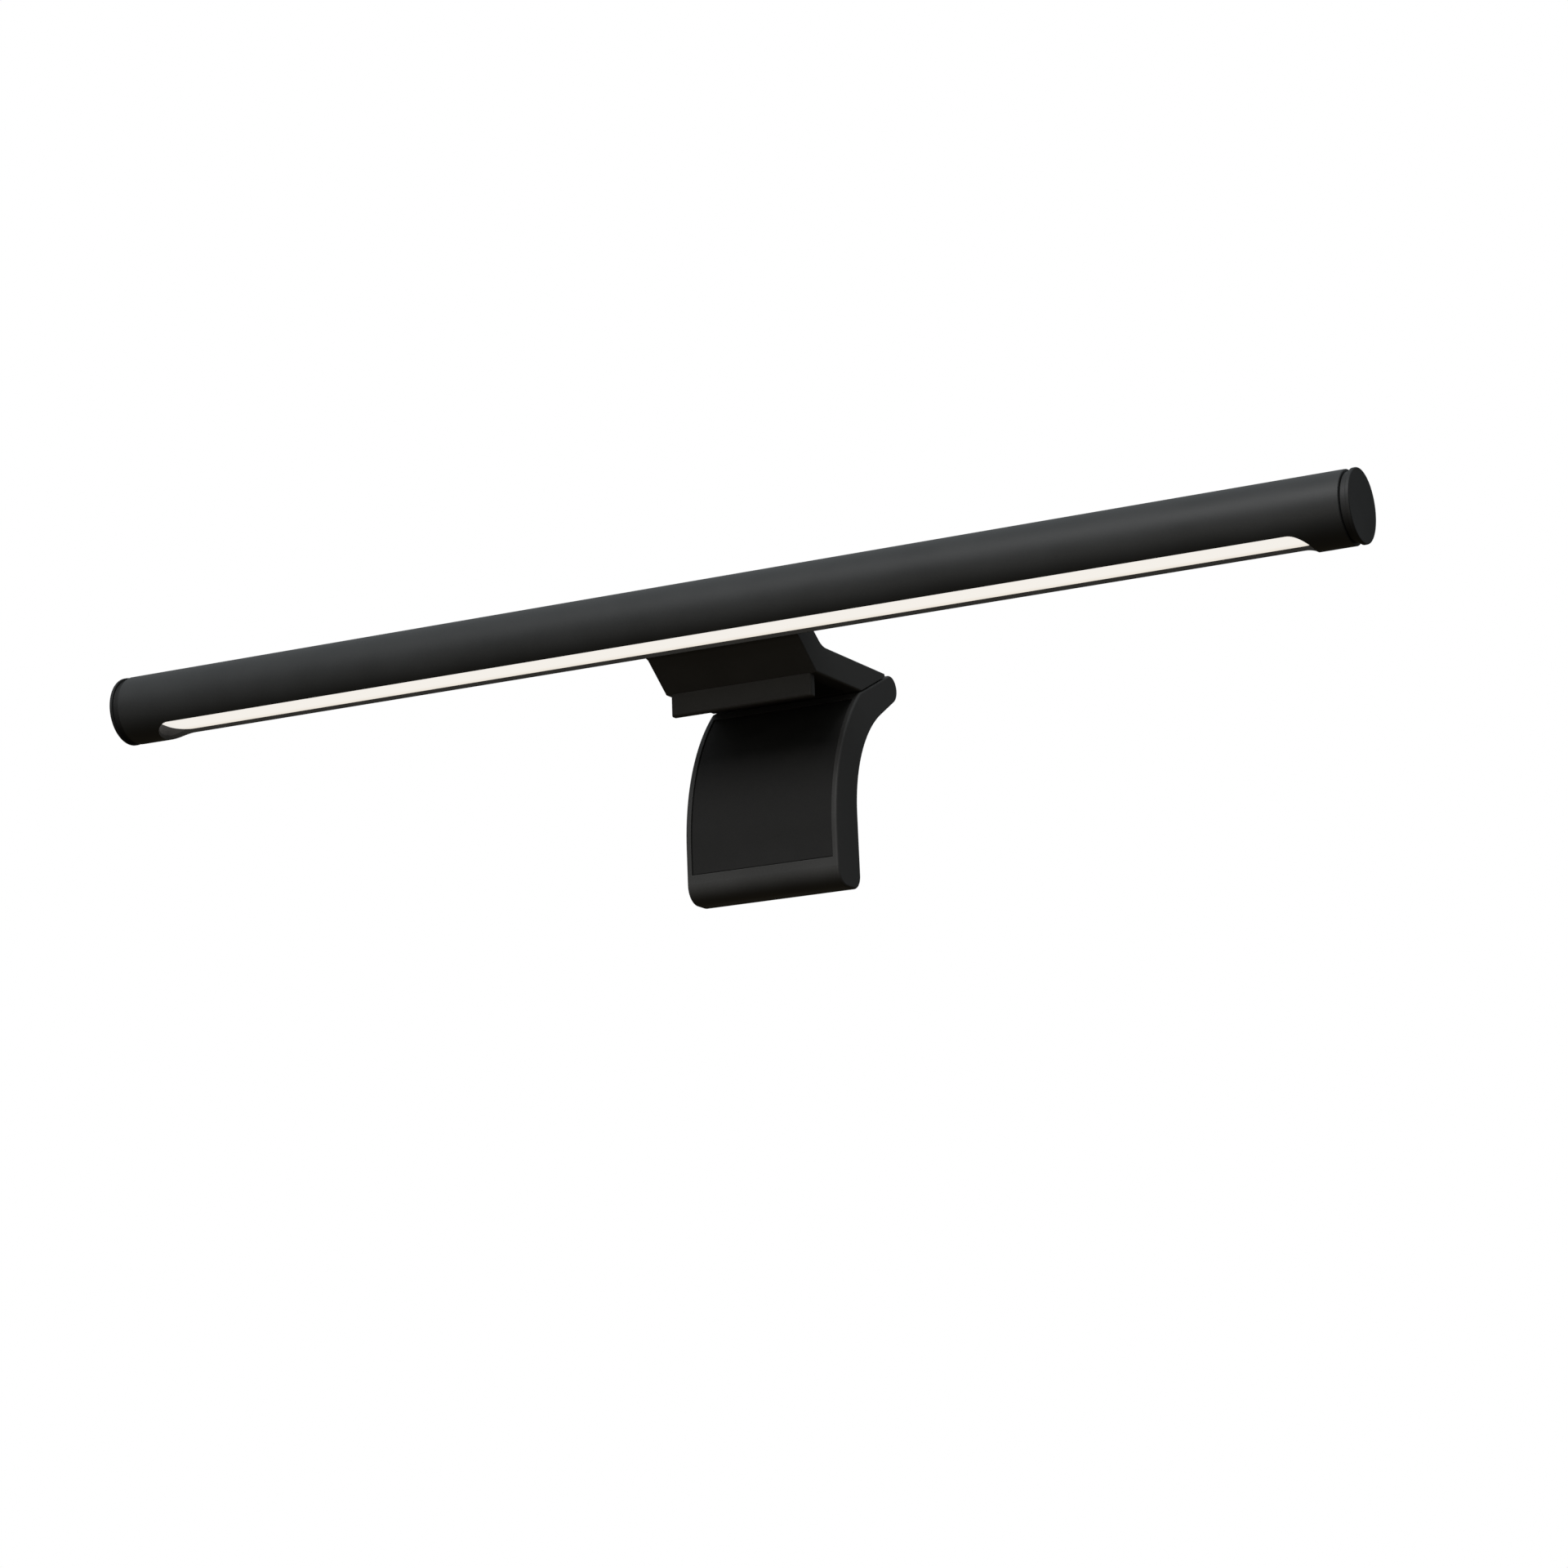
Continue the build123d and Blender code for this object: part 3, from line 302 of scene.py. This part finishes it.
# Each pad's node and body, and the radius in millimetres of its moulded edges.
PADS = (
    ("leg_pad", "rear_leg", 0.35),
    ("lip_pad", "bracket", 0.25),
    ("rest_pad", "bracket", 0.3),
    ("saddle_pad", "bracket", 0.3),
)
PAD_EDGE_STEPS = 3
WELD = 1e-6                         # metres
FLAT_TURN = math.radians(0.5)       # neighbouring faces that turn less than this become one
CREASE = math.radians(35)           # edges that turn more than this are rounded
SPRING_WIRE_R = 0.4 * MM            # as in the CAD, where touching rings stand for the turns
SPRING_STEPS = 20                   # points for each turn
SPRING_GRIND = 0.93                 # the wire is drawn a little thinner, so that turns show apart
WIRE_ROUNDNESS = 3


def link(name, data, node, body, slot):
    """Puts a new piece in the scene, in place of a CAD node and on its body."""
    piece = bpy.data.objects.new(name, data)
    bpy.context.collection.objects.link(piece)
    data.materials.append(MATERIALS[slot])
    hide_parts(node)
    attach(piece, body)
    return piece


def moulded_pad(node, body, edge):
    """The CAD pad's shape with rounded edges, as moulded rubber has."""
    mesh = bpy.data.meshes.new(node + "_moulded")
    shape = bmesh.new()
    shape.from_mesh(NODES[node].data)
    bmesh.ops.remove_doubles(shape, verts=shape.verts, dist=WELD)
    bmesh.ops.dissolve_limit(shape, angle_limit=FLAT_TURN, verts=shape.verts, edges=shape.edges)
    for face in shape.faces:
        face.smooth = True
    shape.to_mesh(mesh)
    shape.free()
    piece = link(node + "_moulded", mesh, node, body, "soft_pad")
    rounding = piece.modifiers.new("rounding", "BEVEL")
    rounding.width = edge * MM
    rounding.segments = PAD_EDGE_STEPS
    rounding.limit_method = "ANGLE"
    rounding.angle_limit = CREASE
    rounding.use_clamp_overlap = True
    piece.modifiers.new("normals", "WEIGHTED_NORMAL")


def wound_spring():
    """Helical wire from one end of the CAD coil to the other, then its straight tail."""
    low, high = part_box("torsion_spring")
    radius = (high[2] - low[2]) / 2 - SPRING_WIRE_R
    axis_back = high[1] - radius - SPRING_WIRE_R
    axis_up = (high[2] + low[2]) / 2
    start, end = low[0] + SPRING_WIRE_R, high[0] - SPRING_WIRE_R
    steps = round((end - start) / (2 * SPRING_WIRE_R)) * SPRING_STEPS
    points = []
    for step in range(steps + 1):
        turn = 2 * math.pi * (step - steps) / SPRING_STEPS
        points.append((start + (end - start) * step / steps,
                       axis_back - radius * math.sin(turn), axis_up + radius * math.cos(turn)))
    points.append((end, low[1] + SPRING_WIRE_R, axis_up + radius))
    curve = bpy.data.curves.new("wound_spring", "CURVE")
    curve.dimensions = "3D"
    curve.bevel_depth = SPRING_WIRE_R * SPRING_GRIND
    curve.bevel_resolution = WIRE_ROUNDNESS
    curve.use_fill_caps = True
    line = curve.splines.new("POLY")
    line.points.add(len(points) - 1)
    for point, place in zip(line.points, points):
        point.co = (*place, 1)
    line.use_smooth = True
    link("wound_spring", curve, "torsion_spring", "bracket", "spring_steel")


# ---- Studio ----
# Places and sizes are metres and powers are watts.

FLOOR_UP = -1.6                     # far below, so that low views see past it
FLOOR_REACH = 8.0
FLOOR_CELLS = 4

# The light that the world gives, from straight below (0) to straight above (1).
WORLD_STOPS = (
    (0.3, (0.060, 0.048, 0.030, 1)),
    (0.52, (0.108, 0.108, 0.104, 1)),
    (1.0, (0.62, 0.67, 0.70, 1)),
)


def area_light(name, place, size, power, colour=(1, 1, 1)):
    """Rectangular lamp aimed at the origin."""
    data = bpy.data.lights.new(name, "AREA")
    data.shape = "RECTANGLE"
    data.size, data.size_y = size
    data.energy = power
    data.color = colour
    lamp = bpy.data.objects.new(name, data)
    lamp.location = place
    lamp.rotation_euler = (-Vector(place)).to_track_quat("-Z", "Y").to_euler()
    bpy.context.collection.objects.link(lamp)


def make_floor():
    """Plain pale floor that gives the object no light of its own."""
    mesh = bpy.data.meshes.new("floor")
    shape = bmesh.new()
    bmesh.ops.create_grid(shape, x_segments=FLOOR_CELLS, y_segments=FLOOR_CELLS, size=FLOOR_REACH)
    shape.to_mesh(mesh)
    shape.free()
    floor = bpy.data.objects.new("floor", mesh)
    floor.location = (0, 0, FLOOR_UP)
    bpy.context.collection.objects.link(floor)
    pale = Shader("floor")
    tone = pale.blend(pale.noise(grain=400.0), (0.82, 0.82, 0.81, 1), (0.86, 0.86, 0.85, 1))
    floor.data.materials.append(pale.look(Base_Color=tone, Roughness=0.7))
    floor.visible_diffuse = False
    floor.visible_glossy = False


def make_world():
    """White to the eye; as light it is bright above and dim below."""
    world = bpy.data.worlds.new("studio")
    world.use_nodes = True
    bpy.context.scene.world = world
    tree = world.node_tree
    up = tree.nodes.new("ShaderNodeSeparateXYZ")
    place = tree.nodes.new("ShaderNodeTexCoord")
    ramp = tree.nodes.new("ShaderNodeValToRGB")
    half = tree.nodes.new("ShaderNodeMath")
    half.operation = "MULTIPLY_ADD"
    half.inputs[1].default_value = 0.5
    half.inputs[2].default_value = 0.5
    tree.links.new(place.outputs["Generated"], up.inputs["Vector"])
    tree.links.new(up.outputs["Z"], half.inputs[0])
    tree.links.new(half.outputs[0], ramp.inputs["Fac"])
    below, level, above = WORLD_STOPS
    stops = ramp.color_ramp.elements
    stops[0].position, stops[0].color = below
    stops[1].position, stops[1].color = above
    stops.new(level[0]).color = level[1]
    light = tree.nodes["Background"]
    tree.links.new(ramp.outputs["Color"], light.inputs["Color"])
    seen = tree.nodes.new("ShaderNodeBackground")
    seen.inputs["Color"].default_value = (1, 1, 1, 1)
    rays = tree.nodes.new("ShaderNodeLightPath")
    mix = tree.nodes.new("ShaderNodeMixShader")
    tree.links.new(rays.outputs["Is Camera Ray"], mix.inputs["Fac"])
    tree.links.new(light.outputs["Background"], mix.inputs[1])
    tree.links.new(seen.outputs["Background"], mix.inputs[2])
    tree.links.new(mix.outputs["Shader"], tree.nodes["World Output"].inputs["Surface"])


def make_studio():
    make_world()
    make_floor()
    area_light("key_light", place=(0.25, -1.6, 1.5), size=(1.2, 1.2), power=56.0)
    area_light("low_fill", place=(0.1, -2.2, -0.5), size=(1.6, 0.8), power=7.0, colour=(1.0, 0.93, 0.82))
    bpy.context.scene.view_settings.view_transform = "Standard"


make_camera()
MATERIALS = make_materials()
make_studio()

for row in frame["record"]["subparts"]:
    paint(NODES[row["node"]], MATERIALS[row["material_slot"]])
for pad, body, edge in PADS:
    moulded_pad(pad, body, edge)
wound_spring()
